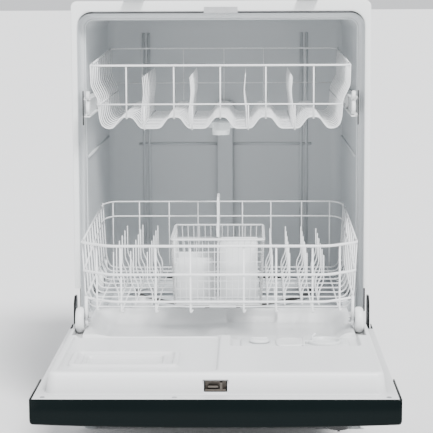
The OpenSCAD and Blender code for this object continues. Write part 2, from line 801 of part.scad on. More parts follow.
// Latch case with its hook, behind the opening in the lining
module latch() {
    n0 = flange_n + 5;
    color([0.5, 0.47, 0.43]) union() {
        door_block(-17, plateau_s1 - 18, n0, 17, plateau_s1 - 5, n0 + 3);
        door_block(-17, plateau_s1 - 18, n0, 17, plateau_s1 - 16, n0 + 16);
        door_block(-12, plateau_s1 - 17, n0 + 6, 4, plateau_s1 - 4, n0 + 9);
        door_block(7, plateau_s1 - 17, n0 + 2, 11, plateau_s1 - 6, n0 + 14);
    }
}

module door_screws() {
    color(steel) for (x = [-280, -66, 280])
        translate([x, door_y(door_len - 16), door_z(flange_n)]) {
            cylinder(h = 0.8, r = 4);
            translate([0, 0, -8]) cylinder(h = 8.4, r = 2);
        }
}

// Finger lever in the console's hand recess, which turns about its front edge
module latch_handle() {
    s0 = door_len - console_len;
    n0 = skin_n - 2;
    color([0.1, 0.1, 0.11]) union() {
        door_block(-58, s0 + 76, n0 + 0.6, 58, s0 + 122, n0 + 3.4);
        translate([-58, door_y(s0 + 122), door_z(n0 + 2.6)]) rotate([0, 90, 0]) cylinder(h = 116, r = 2);
    }
}

module selector_dial() {
    s0 = door_len - console_len;
    z = door_z(skin_n - 2.4);
    color([0.14, 0.14, 0.15]) translate([200, door_y(s0 + 98), 0]) union() {
        translate([0, 0, z - 12]) cylinder(h = 12, r = 17);
        translate([0, 0, z - 1]) cylinder(h = 6, r = 4.6);
        translate([-2, -17, z - 14]) cube([4, 34, 3]);
    }
}

module push_button(index) {
    s0 = door_len - console_len;
    z = door_z(skin_n - 2);
    color([0.14, 0.14, 0.15]) translate([-230 + index * 40, door_y(s0 + 98), z - 3])
        cylinder(h = 5, r = 12);
}

module button_1() { push_button(0); }
module button_2() { push_button(1); }
module button_3() { push_button(2); }

// Dome that rises with the water level and works the overfill switch
module float() {
    color(white) translate([-168, ahead(-110), 0]) union() {
        translate([0, 0, tub_floor + 2]) cylinder(h = 24, r = 21);
        translate([0, 0, tub_floor + 25]) cylinder(h = 8, r = 9);
    }
}

tub();
door_gasket();
strike_plate();
base_frame();
levelling_feet();
toe_kick();
access_panel();
countertop_brackets();
insulation_blanket();
sump();
filter();
wash_pump();
drain_pump();
inlet_valve();
junction_box();
heater_element();
feed_tube();
tub_rollers();
hinge_pins();
balance_springs();
outer_door_panel();
console();
door_liner();
hinge_arms();
dispenser_body();
latch();
door_screws();
detergent_lid();
rinse_cap();
latch_handle();
selector_dial();
button_1();
button_2();
button_3();
float();
lower_spray_arm();
upper_rails();
rail_end_caps();
upper_rack_floor();
upper_rack_front();
upper_rack_back();
upper_rack_left();
upper_rack_right();
upper_rack_tines();
upper_rack_wheels();
upper_spray_arm();
front_axle_pins();
lower_rack_floor();
lower_rack_front();
lower_rack_back();
lower_rack_left();
lower_rack_right();
lower_rack_tines();
rear_axle_pins();
wheel_front_left();
wheel_front_right();
wheel_rear_left();
wheel_rear_right();
silverware_basket();
basket_handle();
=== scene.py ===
"""The built-in dishwasher's looks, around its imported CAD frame. Metres, +Z up, the front faces -Y."""
import json
import math

import bmesh
import bpy
import numpy as np
from mathutils import Matrix, Vector


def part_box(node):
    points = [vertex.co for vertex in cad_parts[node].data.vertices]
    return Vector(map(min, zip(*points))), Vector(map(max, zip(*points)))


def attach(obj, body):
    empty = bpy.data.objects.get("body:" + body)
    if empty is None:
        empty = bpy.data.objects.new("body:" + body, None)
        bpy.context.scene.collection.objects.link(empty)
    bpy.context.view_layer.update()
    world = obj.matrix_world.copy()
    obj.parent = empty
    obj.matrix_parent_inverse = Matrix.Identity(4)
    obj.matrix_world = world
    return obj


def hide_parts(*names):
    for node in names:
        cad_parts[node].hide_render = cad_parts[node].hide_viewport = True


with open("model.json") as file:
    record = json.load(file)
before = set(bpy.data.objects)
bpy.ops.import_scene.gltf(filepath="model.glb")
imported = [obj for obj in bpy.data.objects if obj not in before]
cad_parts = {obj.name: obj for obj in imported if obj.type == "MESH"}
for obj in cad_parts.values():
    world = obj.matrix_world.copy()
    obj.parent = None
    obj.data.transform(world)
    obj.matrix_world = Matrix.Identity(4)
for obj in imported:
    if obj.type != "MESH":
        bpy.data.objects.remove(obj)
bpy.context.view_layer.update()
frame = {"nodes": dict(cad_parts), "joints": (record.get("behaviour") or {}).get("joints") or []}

MM = 0.001
TAU = 2 * math.pi

# ---- places, from the frame
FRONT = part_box("tub")[0].y                        # plane of the tub's front frame
HINGE = Vector(frame["joints"][0]["pos_m"])       # a point on the door's hinge line
UP_LO, UP_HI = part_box("upper_rack_front")
UP_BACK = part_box("upper_rack_back")[1]
LOW_LO, LOW_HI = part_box("lower_rack_front")
LOW_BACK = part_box("lower_rack_back")[1]
LOW_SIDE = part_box("lower_rack_right")[1].x        # outer face of the lower rack's side wall
BASKET_LO, BASKET_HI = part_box("silverware_basket")


def ahead(u):
    """Y of a point u millimetres in front of the tub's frame."""
    return FRONT - u * MM


def on_door(x, s, n):
    """A point of the open door: s along it from the hinge line, n above that line, in millimetres."""
    return Vector((x * MM, HINGE.y - s * MM, HINGE.z + n * MM))


# ---- mesh tools

class Mesh:
    """Collects pieces of geometry and turns them into one object."""

    def __init__(self):
        self.verts, self.faces = [], []

    def add(self, verts, faces):
        """Adds one more piece, with its faces numbered from its own first vertex."""
        start = len(self.verts)
        self.verts += [tuple(v) for v in verts]
        self.faces += [tuple(start + i for i in f) for f in faces]

    def make(self, name, material, smooth=True, bevel=0.0, segments=2):
        """The finished object, with outward normals and, if asked for, rounded edges."""
        mesh = bpy.data.meshes.new(name)
        mesh.from_pydata(self.verts, [], self.faces)
        bm = bmesh.new()
        bm.from_mesh(mesh)
        bmesh.ops.recalc_face_normals(bm, faces=bm.faces)
        bm.to_mesh(mesh)
        bm.free()
        obj = bpy.data.objects.new(name, mesh)
        bpy.context.scene.collection.objects.link(obj)
        mesh.materials.append(material)
        for face in mesh.polygons:
            face.use_smooth = smooth
        if bevel:
            round_edges(obj, bevel, segments)
        return obj


def round_edges(obj, width, segments=2, angle=35):
    """Rounds an object's sharp edges."""
    mod = obj.modifiers.new("round", "BEVEL")
    mod.width = width
    mod.segments = segments
    mod.limit_method = "ANGLE"
    mod.angle_limit = math.radians(angle)
    mod.harden_normals = False


def soften(points, radius, steps=4, closed=False):
    """A polyline with its corners rounded."""
    pts = [Vector(p) for p in points]
    count = len(pts)
    out = []
    for i, p in enumerate(pts):
        if not closed and i in (0, count - 1):
            out.append(p)
            continue
        a, b = pts[i - 1], pts[(i + 1) % count]
        cut = min(radius, (a - p).length * 0.49, (b - p).length * 0.49)
        start, end = p + (a - p).normalized() * cut, p + (b - p).normalized() * cut
        for k in range(steps + 1):
            t = k / steps
            out.append(start * (1 - t) ** 2 + p * 2 * t * (1 - t) + end * t * t)
    return out


def sweep(mesh, points, radius, sides=8, closed=False, flat=1.0, taper=None):
    """A round wire along a polyline. flat squashes it across; taper gives the radius at each end."""
    pts = [Vector(p) for p in points]
    count = len(pts)
    verts, faces = [], []
    side = None
    for i, p in enumerate(pts):
        a = pts[i - 1] if (i or closed) else p
        b = pts[(i + 1) % count] if (i < count - 1 or closed) else p
        along = (b - a).normalized()
        if side is None:
            side = along.cross(Vector((0, 0, 1)))
            if side.length < 1e-3:
                side = along.cross(Vector((0, 1, 0)))
        side = (side - along * side.dot(along)).normalized()
        up = along.cross(side).normalized()
        r = radius
        if taper:
            r = taper[0] + (taper[1] - taper[0]) * i / (count - 1)
        for k in range(sides):
            turn = TAU * (k + 0.5) / sides
            verts.append(p + side * (math.cos(turn) * r) + up * (math.sin(turn) * r * flat))
    rings = count if closed else count - 1
    for i in range(rings):
        j = (i + 1) % count
        for k in range(sides):
            m = (k + 1) % sides
            faces.append((i * sides + k, i * sides + m, j * sides + m, j * sides + k))
    if not closed:
        faces.append(tuple(range(sides)))
        faces.append(tuple((count - 1) * sides + k for k in range(sides)))
    mesh.add(verts, faces)


def spin(mesh, profile, centre, axis="X", sides=40):
    """A turned piece: the profile is (distance along the axis, radius) in metres."""
    turn = {"X": Matrix.Identity(3), "Y": Matrix.Rotation(math.radians(90), 3, "Z"),
            "Z": Matrix.Rotation(math.radians(-90), 3, "Y")}[axis]
    verts, faces = [], []
    for along, r in profile:
        for k in range(sides):
            a = TAU * k / sides
            verts.append(Vector(centre) + turn @ Vector((along, r * math.cos(a), r * math.sin(a))))
    for i in range(len(profile) - 1):
        for k in range(sides):
            m = (k + 1) % sides
            faces.append((i * sides + k, i * sides + m, (i + 1) * sides + m, (i + 1) * sides + k))
    faces.append(tuple(range(sides)))
    faces.append(tuple((len(profile) - 1) * sides + k for k in range(sides)))
    mesh.add(verts, faces)


def bar(mesh, lo, hi):
    """A box from two corners."""
    x, y, z = zip(lo, hi)
    verts = [(x[i], y[j], z[k]) for i in (0, 1) for j in (0, 1) for k in (0, 1)]
    faces = [(0, 1, 3, 2), (4, 6, 7, 5), (0, 4, 5, 1), (2, 3, 7, 6), (0, 2, 6, 4), (1, 5, 7, 3)]
    mesh.add(verts, faces)


def rounded_loop(half, z0, z1, r, y, steps=8):
    """A rectangle with round corners in the XZ plane at y, as points, in metres."""
    r = max(r, 0.0005)
    points = []
    corners = ((half - r, z1 - r, 0), (r - half, z1 - r, 90),
               (r - half, z0 + r, 180), (half - r, z0 + r, 270))
    for x, z, start in corners:
        for k in range(steps + 1):
            a = math.radians(start + 90 * k / steps)
            points.append(Vector((x + r * math.cos(a), y, z + r * math.sin(a))))
    return points


def skin(mesh, loops, closed=True, cap_first=False, cap_last=False):
    """Joins loops of equal length with quads."""
    count = len(loops[0])
    verts = [p for loop in loops for p in loop]
    faces = []
    for i in range(len(loops) - 1):
        for k in range(count if closed else count - 1):
            m = (k + 1) % count
            faces.append((i * count + k, i * count + m, (i + 1) * count + m, (i + 1) * count + k))
    if cap_first:
        faces.append(tuple(range(count)))
    if cap_last:
        faces.append(tuple((len(loops) - 1) * count + k for k in range(count)))
    mesh.add(verts, faces)


# ---- materials

def paint_shade_in_corners(tree, colour, deep, reach):
    """Paints shade into a colour: towards the deep one in corners and seams up to reach metres wide."""
    corner = tree.nodes.new("ShaderNodeAmbientOcclusion")
    corner.inputs["Distance"].default_value = reach
    corner.samples = 6
    tint = tree.nodes.new("ShaderNodeMix")
    tint.data_type = "RGBA"
    tint.inputs["A"].default_value = (*deep, 1)
    tree.links.new(corner.outputs["AO"], tint.inputs["Factor"])
    tree.links.new(colour, tint.inputs["B"])
    return tint.outputs["Result"]


def material(name, base, rough, mottle, mottle_scale, grain, grain_depth, rough_swing=0.06, metal=0.0,
             specular=0.5, painted_shade=0.0, reach=0.025):
    """A moulded, painted or drawn finish: soft colour clouds, uneven gloss and a fine grain.

    mottle is the share by which the colour clouds vary, and mottle_scale and grain are noise scales.
    grain_depth is the bump's depth in metres. The last two arguments paint shade: how much darker the colour
    is painted deep in corners and seams, where less light falls, and reach, how wide those are in metres."""
    mat = bpy.data.materials.new(name)
    mat.use_nodes = True
    nodes, links = mat.node_tree.nodes, mat.node_tree.links
    shader = nodes["Principled BSDF"]
    shader.inputs["Metallic"].default_value = metal
    shader.inputs["Specular IOR Level"].default_value = specular
    coords = nodes.new("ShaderNodeTexCoord")

    def noise(scale, detail):
        """Noise in the object's own coordinates, from 0 to 1."""
        tex = nodes.new("ShaderNodeTexNoise")
        tex.inputs["Scale"].default_value = scale
        tex.inputs["Detail"].default_value = detail
        links.new(coords.outputs["Object"], tex.inputs["Vector"])
        return tex.outputs["Fac"]

    mix = nodes.new("ShaderNodeMix")
    mix.data_type = "RGBA"
    mix.inputs["A"].default_value = (*[c * (1 - mottle) for c in base], 1)
    mix.inputs["B"].default_value = (*[min(1, c * (1 + mottle)) for c in base], 1)
    links.new(noise(mottle_scale, 3), mix.inputs["Factor"])
    colour = mix.outputs["Result"]
    # painted shade: darker colour in corners and seams, where less light falls
    if painted_shade:
        colour = paint_shade_in_corners(mat.node_tree, colour, [c * (1 - painted_shade) for c in base], reach)
    links.new(colour, shader.inputs["Base Color"])
    swing = nodes.new("ShaderNodeMapRange")
    swing.inputs["To Min"].default_value = max(0.02, rough - rough_swing)
    swing.inputs["To Max"].default_value = rough + rough_swing
    links.new(noise(mottle_scale * 4, 4), swing.inputs["Value"])
    links.new(swing.outputs["Result"], shader.inputs["Roughness"])
    bump = nodes.new("ShaderNodeBump")
    bump.inputs["Strength"].default_value = 0.6
    bump.inputs["Distance"].default_value = grain_depth
    links.new(noise(grain, 2), bump.inputs["Height"])
    links.new(bump.outputs["Normal"], shader.inputs["Normal"])
    return mat


# name, colour, roughness, mottle and its scale, grain and its depth
# the tub's colour is its own grey-white plastic darkened by painted shade for the inside of the tub, below
# the frame's white of the same plastic; its corners and seams get painted shade too
TUB_SHADED = material("tub_white_painted_shade", (0.66, 0.685, 0.7), 0.4, 0.03, 5, 1400, 0.00005, painted_shade=0.3)
# painted shade in the lining's corners and seams, reaching wide enough to darken the hollow under the lower
# rack
LINER = material("liner_white", (0.87, 0.88, 0.885), 0.34, 0.02, 6, 1300, 0.00004, painted_shade=0.75, reach=0.07)
FRAME_WHITE = material("frame_white", (0.86, 0.875, 0.87), 0.34, 0.02, 7, 1200, 0.00004)
WHITE = material("moulded_white", (0.84, 0.85, 0.85), 0.34, 0.03, 20, 1500, 0.00003)
WIRE = material("coated_wire", (0.87, 0.88, 0.885), 0.28, 0.03, 60, 700, 0.00008)
# painted shade in the basket's corners and seams
BASKET = material("basket_white", (0.8, 0.815, 0.82), 0.36, 0.03, 30, 1600, 0.00003, painted_shade=0.45)
SEAL = material("seal_rubber", (0.62, 0.64, 0.65), 0.55, 0.05, 25, 900, 0.00008)
ZINC = material("zinc_sheet", (0.55, 0.56, 0.57), 0.38, 0.16, 45, 260, 0.00003, rough_swing=0.12, metal=0.9)
STEEL = material("turned_steel", (0.5, 0.51, 0.52), 0.3, 0.08, 60, 1500, 0.00003, rough_swing=0.08, metal=1.0)
ENAMEL = material("black_enamel", (0.006, 0.007, 0.008), 0.35, 0.15, 8, 1800, 0.00002, rough_swing=0.05,
                  specular=0.2)
GLOSS = material("console_black", (0.0016, 0.0042, 0.0045), 0.2, 0.2, 4, 1500, 0.00001, rough_swing=0.04,
                 specular=0.09)
DARK = material("black_plastic", (0.02, 0.021, 0.022), 0.45, 0.15, 30, 1500, 0.00005)
FELT = material("blanket_felt", (0.035, 0.035, 0.038), 0.85, 0.35, 60, 500, 0.0006, rough_swing=0.08)
GREY = material("grey_plastic", (0.36, 0.38, 0.39), 0.45, 0.05, 20, 1500, 0.00005)
PUMP = material("pump_casting", (0.42, 0.43, 0.44), 0.42, 0.12, 60, 500, 0.0001, rough_swing=0.1, metal=0.7)
SHEATH = material("heater_sheath", (0.12, 0.115, 0.11), 0.4, 0.25, 90, 1200, 0.00004, rough_swing=0.1,
                  metal=0.9)
# painted shade in the dispensers' corners and seams
PALE = material("dispenser_pale", (0.8, 0.82, 0.825), 0.34, 0.03, 30, 1500, 0.00003, painted_shade=0.45)
LATCH = material("latch_metal", (0.13, 0.115, 0.1), 0.42, 0.3, 160, 900, 0.00005, rough_swing=0.1, metal=0.8)
ARM = material("spray_arm", (0.66, 0.69, 0.7), 0.4, 0.04, 30, 1500, 0.00004)

# ---- CAD nodes that are shown as they are: finish, and the width of their rounded edges
KEPT = {
    "strike_plate": (ZINC, 0.0003), "base_frame": (ZINC, 0.0006), "levelling_feet": (GREY, 0.0006),
    "toe_kick": (ENAMEL, 0.0006), "access_panel": (ENAMEL, 0.0006), "countertop_brackets": (ZINC, 0.0003),
    "insulation_blanket": (FELT, 0.004), "sump": (GREY, 0.001), "filter": (GREY, 0.0006),
    "wash_pump": (PUMP, 0.0015), "drain_pump": (GREY, 0.0012), "inlet_valve": (GREY, 0.001),
    "junction_box": (ZINC, 0.0005), "heater_element": (SHEATH, 0.0003), "feed_tube": (TUB_SHADED, 0.002),
    "tub_rollers": (WHITE, 0.001), "hinge_pins": (STEEL, 0.0005), "balance_springs": (STEEL, 0.0006),
    "outer_door_panel": (ENAMEL, 0.0008), "hinge_arms": (ENAMEL, 0.0008), "latch": (LATCH, 0.0004),
    "door_screws": (STEEL, 0.0004), "latch_handle": (DARK, 0.0006), "selector_dial": (DARK, 0.0012),
    "button_1": (DARK, 0.001), "button_2": (DARK, 0.001), "button_3": (DARK, 0.001), "float": (WHITE, 0.002),
    "lower_spray_arm": (ARM, 0.0018), "upper_rails": (WHITE, 0.0004),
    "upper_rack_wheels": (WHITE, 0.0008), "upper_spray_arm": (ARM, 0.0018),
    "front_axle_pins": (STEEL, 0.0005), "rear_axle_pins": (STEEL, 0.0005),
    "basket_handle": (BASKET, 0.0008),
}
for node, (finish, edge) in KEPT.items():
    shown = frame["nodes"][node]
    shown.data.materials.clear()
    shown.data.materials.append(finish)
    round_edges(shown, edge)


def place(obj, body, slot, *nodes):
    """Rides a piece on its body and hides the CAD nodes it stands for; slot is not used."""
    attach(obj, body)
    if nodes:
        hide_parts(*nodes)


# ---- tub, in millimetres

MOUTH_HALF, MOUTH_TOP, MOUTH_LIP, MOUTH_CORNER = 270, 826, 232, 16      # the opening at the front
TUB_FLOOR, TUB_CORNER = 222, 24                                         # the wash space behind it


def tub_loop(grow, u, floor=MOUTH_LIP, r=MOUTH_CORNER):
    """One outline of the tub, grown outwards from its opening, at u in front of the frame."""
    return rounded_loop((MOUTH_HALF + grow) * MM, (floor - grow) * MM, (MOUTH_TOP + grow) * MM,
                        (r + grow) * MM, ahead(u))


def arch(half, top, r, u, *levels):
    """An upturned U: up the left side through the levels, over the top and down the right side."""
    y, steps = ahead(u), 10
    points = [Vector((-half * MM, y, z * MM)) for z in levels]
    for side, start in ((-1, 180), (1, 90)):
        for k in range(steps + 1):
            a = math.radians(start - 90 * k / steps)
            points.append(Vector(((side * (half - r) + r * math.cos(a)) * MM, y,
                                  (top - r + r * math.sin(a)) * MM)))
    return points + [Vector((half * MM, y, z * MM)) for z in reversed(levels)]


def make_tub_shell():
    """The inside: seal channel, lip, walls and a back with rounded edges."""
    inner = Mesh()
    channel = [(13.6, -0.6), (12.6, -2), (12.3, -10), (11.8, -26), (10.6, -33), (8, -38), (4.5, -41),
               (1.5, -42), (0.2, -42.6), (0, -45), (0, -52)]
    loops = [tub_loop(grow, u) for grow, u in channel] + [tub_loop(0, -60, 226, 20)]
    loops += [tub_loop(0, u, TUB_FLOOR, TUB_CORNER) for u in (-72, -300, -535)]
    back_r = 27
    for k in range(1, 9):
        a = math.radians(90 * k / 8)
        shrink = back_r * (1 - math.cos(a))
        loops.append(tub_loop(-shrink, -536 - back_r * math.sin(a), TUB_FLOOR, TUB_CORNER + shrink))
    skin(inner, loops, cap_last=True)
    bead = rounded_loop(0.2715, 0.2305, 0.8275, 0.0175, ahead(-42.2))
    sweep(inner, bead, 0.0017, 6, closed=True)
    place(inner.make("tub_shell", TUB_SHADED), "cabinet", "tub_plastic", "tub")


def make_tub_outside():
    """The outer skin, a few millimetres outside the wash space."""
    outer = Mesh()
    flange = [(15.4, -5.5), (15.4, -46), (14.4, -48), (3.2, -48.4), (3, -50)]
    loops = [tub_loop(grow, u) for grow, u in flange]
    loops += [tub_loop(3, -564, TUB_FLOOR, 27), tub_loop(1.5, -565.6, TUB_FLOOR, 26)]
    skin(outer, loops, cap_last=True)
    place(outer.make("tub_outside", TUB_SHADED), "cabinet", "tub_plastic")


def make_front_frame():
    """The flat white face round the opening, with rounded outer and inner edges."""
    face = Mesh()
    rows = [(295, 864, 12, -6), (295, 864, 12, -1.6), (294.5, 863.5, 11.5, -0.4), (293.4, 862.4, 11, 0),
            (289, 856, 14, 0), (286.5, 848, 20, -0.1), (284.6, 845, 25, -0.5), (283.2, 843.6, 28, -1.4),
            (282.6, 843.1, 28.6, -3), (282.5, 843, 28.5, -6)]
    skin(face, [arch(*row, 292, 500) for row in rows], closed=False)
    place(face.make("tub_front_frame", FRAME_WHITE), "cabinet", "tub_plastic")


def make_mouldings():
    """Raised ribs of the back and side walls, and the tracks that the rear wheels run on."""
    ribs, tracks = Mesh(), Mesh()
    back = ahead(-563)
    for side in (-1, 1):
        for x in (0.176, 0.188):
            sweep(ribs, [(side * x, back, 0.30), (side * x, back, 0.79)], 0.0035, 10)
        sweep(ribs, [(side * 0.02, back, 0.5335), (side * 0.2, back, 0.5335)], 0.0032, 10)
        sweep(ribs, [(side * 0.27, ahead(-60), 0.552), (side * 0.27, ahead(-535), 0.552)], 0.0035, 10)
        x = sorted((side * 0.243, side * 0.2705))
        bar(tracks, (x[0], ahead(-56), 0.2205), (x[1], ahead(-500), 0.2566))
    place(ribs.make("tub_mouldings", TUB_SHADED), "cabinet", "tub_plastic")
    place(tracks.make("tub_tracks", TUB_SHADED, bevel=0.004, segments=3), "cabinet", "tub_plastic")


def make_gasket():
    """The door seal, a soft tube in the channel round the opening, open at the bottom."""
    seal = Mesh()
    sweep(seal, arch(276.2, 832.4, 20, -43, 246), 0.0038, 12)
    place(seal.make("door_seal", SEAL), "cabinet", "seal_rubber", "door_gasket")


# ---- door lining, as a moulded sheet whose height follows rounded rectangles

def box_distance(x, y, x0, y0, x1, y1, r):
    """Distance outside a rectangle with round corners, negative inside."""
    qx = np.abs(x - (x0 + x1) / 2) - (x1 - x0) / 2 + r
    qy = np.abs(y - (y0 + y1) / 2) - (y1 - y0) / 2 + r
    return np.hypot(np.maximum(qx, 0), np.maximum(qy, 0)) + np.minimum(np.maximum(qx, qy), 0) - r


def ease(t):
    """A smooth step from 0 to 1."""
    t = np.clip(t, 0, 1)
    return t * t * (3 - 2 * t)


def into(height, level, distance, width):
    """Blends a surface towards a level where distance is below 0, over a slope of that width."""
    share = ease(-distance / width)
    return height + (level - height) * share


PLATEAU_N = 61.0                              # height of the raised lining over the hinge line
WALL_S, WALL_RUN = 615.0, 5.0                 # foot of its steep front wall, and how far the wall runs back
HOLE_HALF, HOLE_N = 19, (29.5, 47.5)          # the latch opening in that wall: half width, and its heights
WELL = (50, 222, 314, 388)                    # opening for the dispensers: x, x, s, s
NARROW_S, NARROW_HALF = 75, 286.4             # beside the hinge arms the lining is only this wide


def wall_profile(distance):
    """Height of the raised lining over its own edge: a steep wall and a rounded brow."""
    return np.interp(-distance, [0, 0.8, WALL_RUN, 7.5, 10.5, 15], [25, 26.4, 56, 59.4, 60.7, PLATEAU_N])


def liner_height(x, s):
    """Height of the lining over the hinge line, in millimetres, at x across and s along the open door."""
    h = wall_profile(box_distance(x, s, -279, 34, 279, 615, 20))
    flat = h >= PLATEAU_N - 0.1
    top = np.full_like(h, PLATEAU_N)
    # left deck, with the raised frame and the sunk middle of the shallow rectangle
    top = into(top, 56.0, box_distance(x, s, -262, 306, 4, 597, 14), 5)
    top = into(top, 60.2, box_distance(x, s, -250, 436, -62, 552, 14), 4)
    top = into(top, 55.2, box_distance(x, s, -240, 446, -72, 542, 10), 4)
    top = into(top, 57.2, box_distance(x, s, -229, 457, -84, 531, 8), 3)
    top = into(top, 51.4, box_distance(x, s, -224, 462, -90, 526, 7), 4)
    # deck of the dispensers
    top = into(top, 53.0, box_distance(x, s, 20, 292, 252, 404, 12), 6)
    # hollow near the hinge: deepest on the left, stepping up to the right
    hollow = into(top, 35.8, box_distance(x, s, -243, 40, 243, 314, 50), 34)
    left = into(hollow, 31.2, box_distance(x, s, -238, 46, 8, 308, 60), 40)
    middle = into(hollow, 34.4, box_distance(x, s, 8, 46, 112, 306, 10), 9)
    top = np.where(x < 8, left, np.where(x < 116, np.minimum(middle, hollow), hollow))
    # wheel tracks
    for side in (-1, 1):
        near, far = sorted((side * 246.6, side * 266.4))
        top = into(top, 51.6, box_distance(x, s, near, 0, far, 311, 2), 2.4)
    return np.where(flat, top, np.minimum(h, np.maximum(top, 51.6)))


def lines(lo, hi, step, *fine):
    """Grid lines at an even step, with closer ones around each fine place (place, reach, step)."""
    marks = set(np.round(np.arange(lo, hi + 1e-6, step), 3)) | {hi}
    for place_, reach, close in fine:
        marks |= set(np.round(np.arange(place_ - reach, place_ + reach + 1e-6, close), 3))
    return np.array(sorted(m for m in marks if lo <= m <= hi))


def lining_grid():
    """The lining's grid: X lines, and S lines that include both ends of the latch opening."""
    edges = [(side * x, reach, 1.2) for x, reach in ((279, 16), (256, 12)) for side in (-1, 1)]
    xs = lines(-296, 296, 5, *edges, (4, 12, 1.5), (-77, 20, 1.2), (-238, 18, 1.2), (112, 8, 1.5),
               (20, 6, 1.6), (-HOLE_HALF, 0, 1), (HOLE_HALF, 0, 1))
    foot = [WALL_S - WALL_RUN * t for t in (0.0, 0.16)]
    hole = [WALL_S - np.interp(n, [26.4, 56], [0.8, WALL_RUN]) for n in HOLE_N]
    ss = lines(10, 644, 5, (608, 10, 1.2), (36, 12, 1.5), (306, 14, 1.6), (400, 8, 1.6), (449, 18, 1.2),
               (537, 20, 1.2), (594, 8, 1.2))
    return xs, np.array(sorted(set(ss) | set(foot) | set(hole))), hole


def make_lining():
    """The moulded sheet itself, with openings for the latch and the dispensers."""
    xs, ss, hole = lining_grid()
    gx, gs = np.meshgrid(xs, ss, indexing="ij")
    heights = liner_height(gx, gs)
    outside = (gs < NARROW_S) & (np.abs(gx) > NARROW_HALF)
    rows, faces = len(ss), []
    for i in range(len(xs) - 1):
        for j in range(rows - 1):
            x, along = (xs[i] + xs[i + 1]) / 2, (ss[j] + ss[j + 1]) / 2
            in_hole = abs(x) < HOLE_HALF and min(hole) < along < max(hole)
            in_well = WELL[0] < x < WELL[1] and WELL[2] < along < WELL[3]
            if outside[i, j] or outside[i + 1, j] or in_hole or in_well:
                continue
            faces.append((i * rows + j, (i + 1) * rows + j, (i + 1) * rows + j + 1, i * rows + j + 1))
    sheet = Mesh()
    sheet.add([on_door(x, along, n) for x, along, n in zip(gx.ravel(), gs.ravel(), heights.ravel())], faces)
    lining = sheet.make("door_lining", LINER)
    if lining.data.polygons[0].normal.z < 0:
        lining.data.flip_normals()
    bm = bmesh.new()
    bm.from_mesh(lining.data)
    bmesh.ops.delete(bm, geom=[v for v in bm.verts if not v.link_faces], context="VERTS")
    bm.to_mesh(lining.data)
    bm.free()
    thicken(lining, 0.0022, -1)
    place(lining, "door", "liner_plastic", "door_liner")


def thicken(obj, thickness, offset):
    """Gives a sheet its thickness, to one side."""
    mod = obj.modifiers.new("thickness", "SOLIDIFY")
    mod.thickness, mod.offset = thickness, offset


def make_latch_pocket():
    """Dark walls behind the latch opening, open towards the front."""
    pocket = Mesh()
    lo, hi = on_door(-20, WALL_S - 3, 28.6), on_door(20, WALL_S - 22, 48.4)
    corners = [(x, y, z) for y in (lo.y, hi.y) for x, z in ((lo.x, lo.z), (hi.x, lo.z), (hi.x, hi.z),
                                                            (lo.x, hi.z))]
    pocket.add(corners, [(4, 5, 6, 7), (0, 1, 5, 4), (3, 2, 6, 7), (0, 3, 7, 4), (1, 2, 6, 5)])
    walls = pocket.make("latch_pocket", DARK, smooth=False)
    thicken(walls, 0.0008, 1)
    place(walls, "door", "black_plastic")


# ---- console: a tray with round corners and a bowed lower edge

def make_console():
    """The console's shell, with the hand recess in its outer face."""
    lo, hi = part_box("console")
    half, y0, y1, top = hi.x, lo.y, hi.y, hi.z
    columns, r = 48, 0.005                                      # columns across, and the corners' radius
    bottom_end, bottom_mid = top - 0.042, top - 0.0475          # the outer face bows out in the middle
    near, far = on_door(0, 573, 0).y, on_door(0, 631, 0).y      # ends of the hand recess
    recess_half, ceiling = 0.062, top - 0.041

    def section(x):
        """The closed outline at x, drawn in as it nears an end."""
        edge = half - abs(x)
        inset = r - math.sqrt(max(0.0, r * r - (r - edge) ** 2)) if edge < r else 0.0
        low = bottom_mid + (bottom_end - bottom_mid) * min(1.0, abs(x) / half) ** 2.2 + inset
        front = y0 + inset * 0.5
        roof = ceiling if abs(x) < recess_half else low
        outline = [(y1, top - 0.003), (y1, low + 0.002), (y1 - 0.002, low), (near, low),
                   (near - 0.0004, roof), (far + 0.0004, roof), (far, low)]
        for a in map(math.radians, (90, 72, 54, 36, 18, 0)):
            outline.append((front + r * (1 - math.cos(a)), low + r * (1 - math.sin(a))))
        outline += [(front, top - 0.0012), (front + 0.0006, top - 0.0003), (front + 0.0014, top),
                    (front + 0.004, top), (front + 0.0044, top - 0.0012), (front + 0.0046, low + 0.012),
                    (y1 - 0.003, low + 0.006), (y1 - 0.003, top - 0.004)]
        return [Vector((x, y, z)) for y, z in outline]

    end = [-half + r * (1 - math.cos(math.radians(a))) for a in (0, 15, 30, 45, 60, 75, 90)]
    middle = [(-half + r) + (2 * half - 2 * r) * i / columns for i in range(1, columns)]
    recess = [side * (recess_half + step) for side in (-1, 1) for step in (-0.0003, 0.0003)]
    body = Mesh()
    skin(body, [section(x) for x in sorted(end + middle + [-x for x in end] + recess)],
         cap_first=True, cap_last=True)
    for side in (-1, 1):
        x = sorted((side * half, side * (half - 0.0026)))
        bar(body, (x[0], y0 + 0.006, top - 0.034), (x[1], y1 - 0.0005, top))
    shell = body.make("console_shell", GLOSS)
    round_edges(shell, 0.0005, 2, 50)
    place(shell, "door", "console_black", "console")


# ---- upper rack: wire radii, the planes of its wires, and the humps and dips of its floor

UP_THIN, UP_ROD, UP_RIM = 0.0013, 0.0016, 0.0021
UP_TOP, UP_FLOOR, UP_MID, UP_TOP_BACK = UP_HI.z - 0.002, UP_LO.z + 0.002, 0.6665, UP_BACK.z - 0.002
UP_Y0, UP_Y1 = UP_LO.y + 0.002, UP_BACK.y - 0.002
UP_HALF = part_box("upper_rack_right")[1].x - 0.002
HUMPS, DIPS = (-0.181, -0.0895, 0.0, 0.0875, 0.1795), (-0.1465, -0.0545, 0.054, 0.1435)
HUMP_RISE = 0.022


